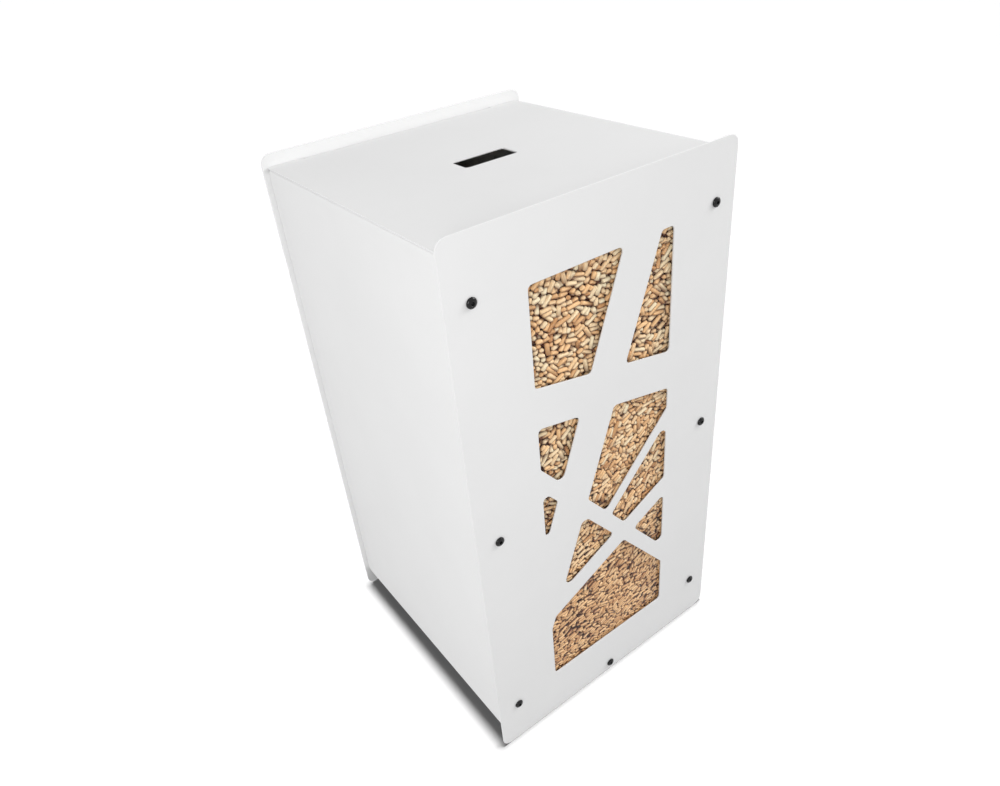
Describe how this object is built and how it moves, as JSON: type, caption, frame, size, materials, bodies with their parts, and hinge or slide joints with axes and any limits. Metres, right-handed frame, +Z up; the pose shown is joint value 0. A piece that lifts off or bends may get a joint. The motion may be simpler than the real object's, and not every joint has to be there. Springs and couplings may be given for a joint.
{
  "type": "pellet storage box",
  "caption": "Upright white sheet-steel box for wood pellets, with slanted windows and a clear pane in its front and a lift-off lid with a finger slot.",
  "frame": {"origin": "on the ground, under the middle of the box", "axes": "+X to the right as seen from the front, +Y to the rear, +Z up; the windows face -Y"},
  "size_m": [0.32, 0.3224, 0.6],
  "materials": {
    "white_powder_coat": "satin white powder coat",
    "clear_acrylic": "clear, polished",
    "white_foam_tape": "matt foam",
    "pellet_wood": "pressed wood, rough ends",
    "black_steel": "black oxide",
    "zinc_plate": "bright zinc"
  },
  "bodies": {
    "case": {"front_panel": "white_powder_coat", "back_panel": "white_powder_coat", "left_wall": "white_powder_coat", "right_wall": "white_powder_coat", "floor_panel": "white_powder_coat", "window_pane": "clear_acrylic", "pane_tape": "white_foam_tape", "pellet_fill": "pellet_wood", "front_screw_1": "black_steel", "front_screw_2": "black_steel", "front_screw_3": "black_steel", "front_screw_4": "black_steel", "front_screw_5": "black_steel", "front_screw_6": "black_steel", "front_screw_7": "black_steel", "back_screw_1": "black_steel", "back_screw_2": "black_steel", "back_screw_3": "black_steel", "back_screw_4": "black_steel", "back_screw_5": "black_steel", "back_screw_6": "black_steel", "back_screw_7": "black_steel", "front_nut_1": "zinc_plate", "front_nut_2": "zinc_plate", "front_nut_3": "zinc_plate", "front_nut_4": "zinc_plate", "front_nut_5": "zinc_plate", "front_nut_6": "zinc_plate", "front_nut_7": "zinc_plate", "back_nut_1": "zinc_plate", "back_nut_2": "zinc_plate", "back_nut_3": "zinc_plate", "back_nut_4": "zinc_plate", "back_nut_5": "zinc_plate", "back_nut_6": "zinc_plate", "back_nut_7": "zinc_plate"},
    "lid": {"lid": "white_powder_coat"}
  },
  "joints": [
    {"name": "lid_lift", "type": "slide", "parent": "case", "child": "lid", "axis": [0, 0, 1], "range_m": [0, 0.25]}
  ]
}
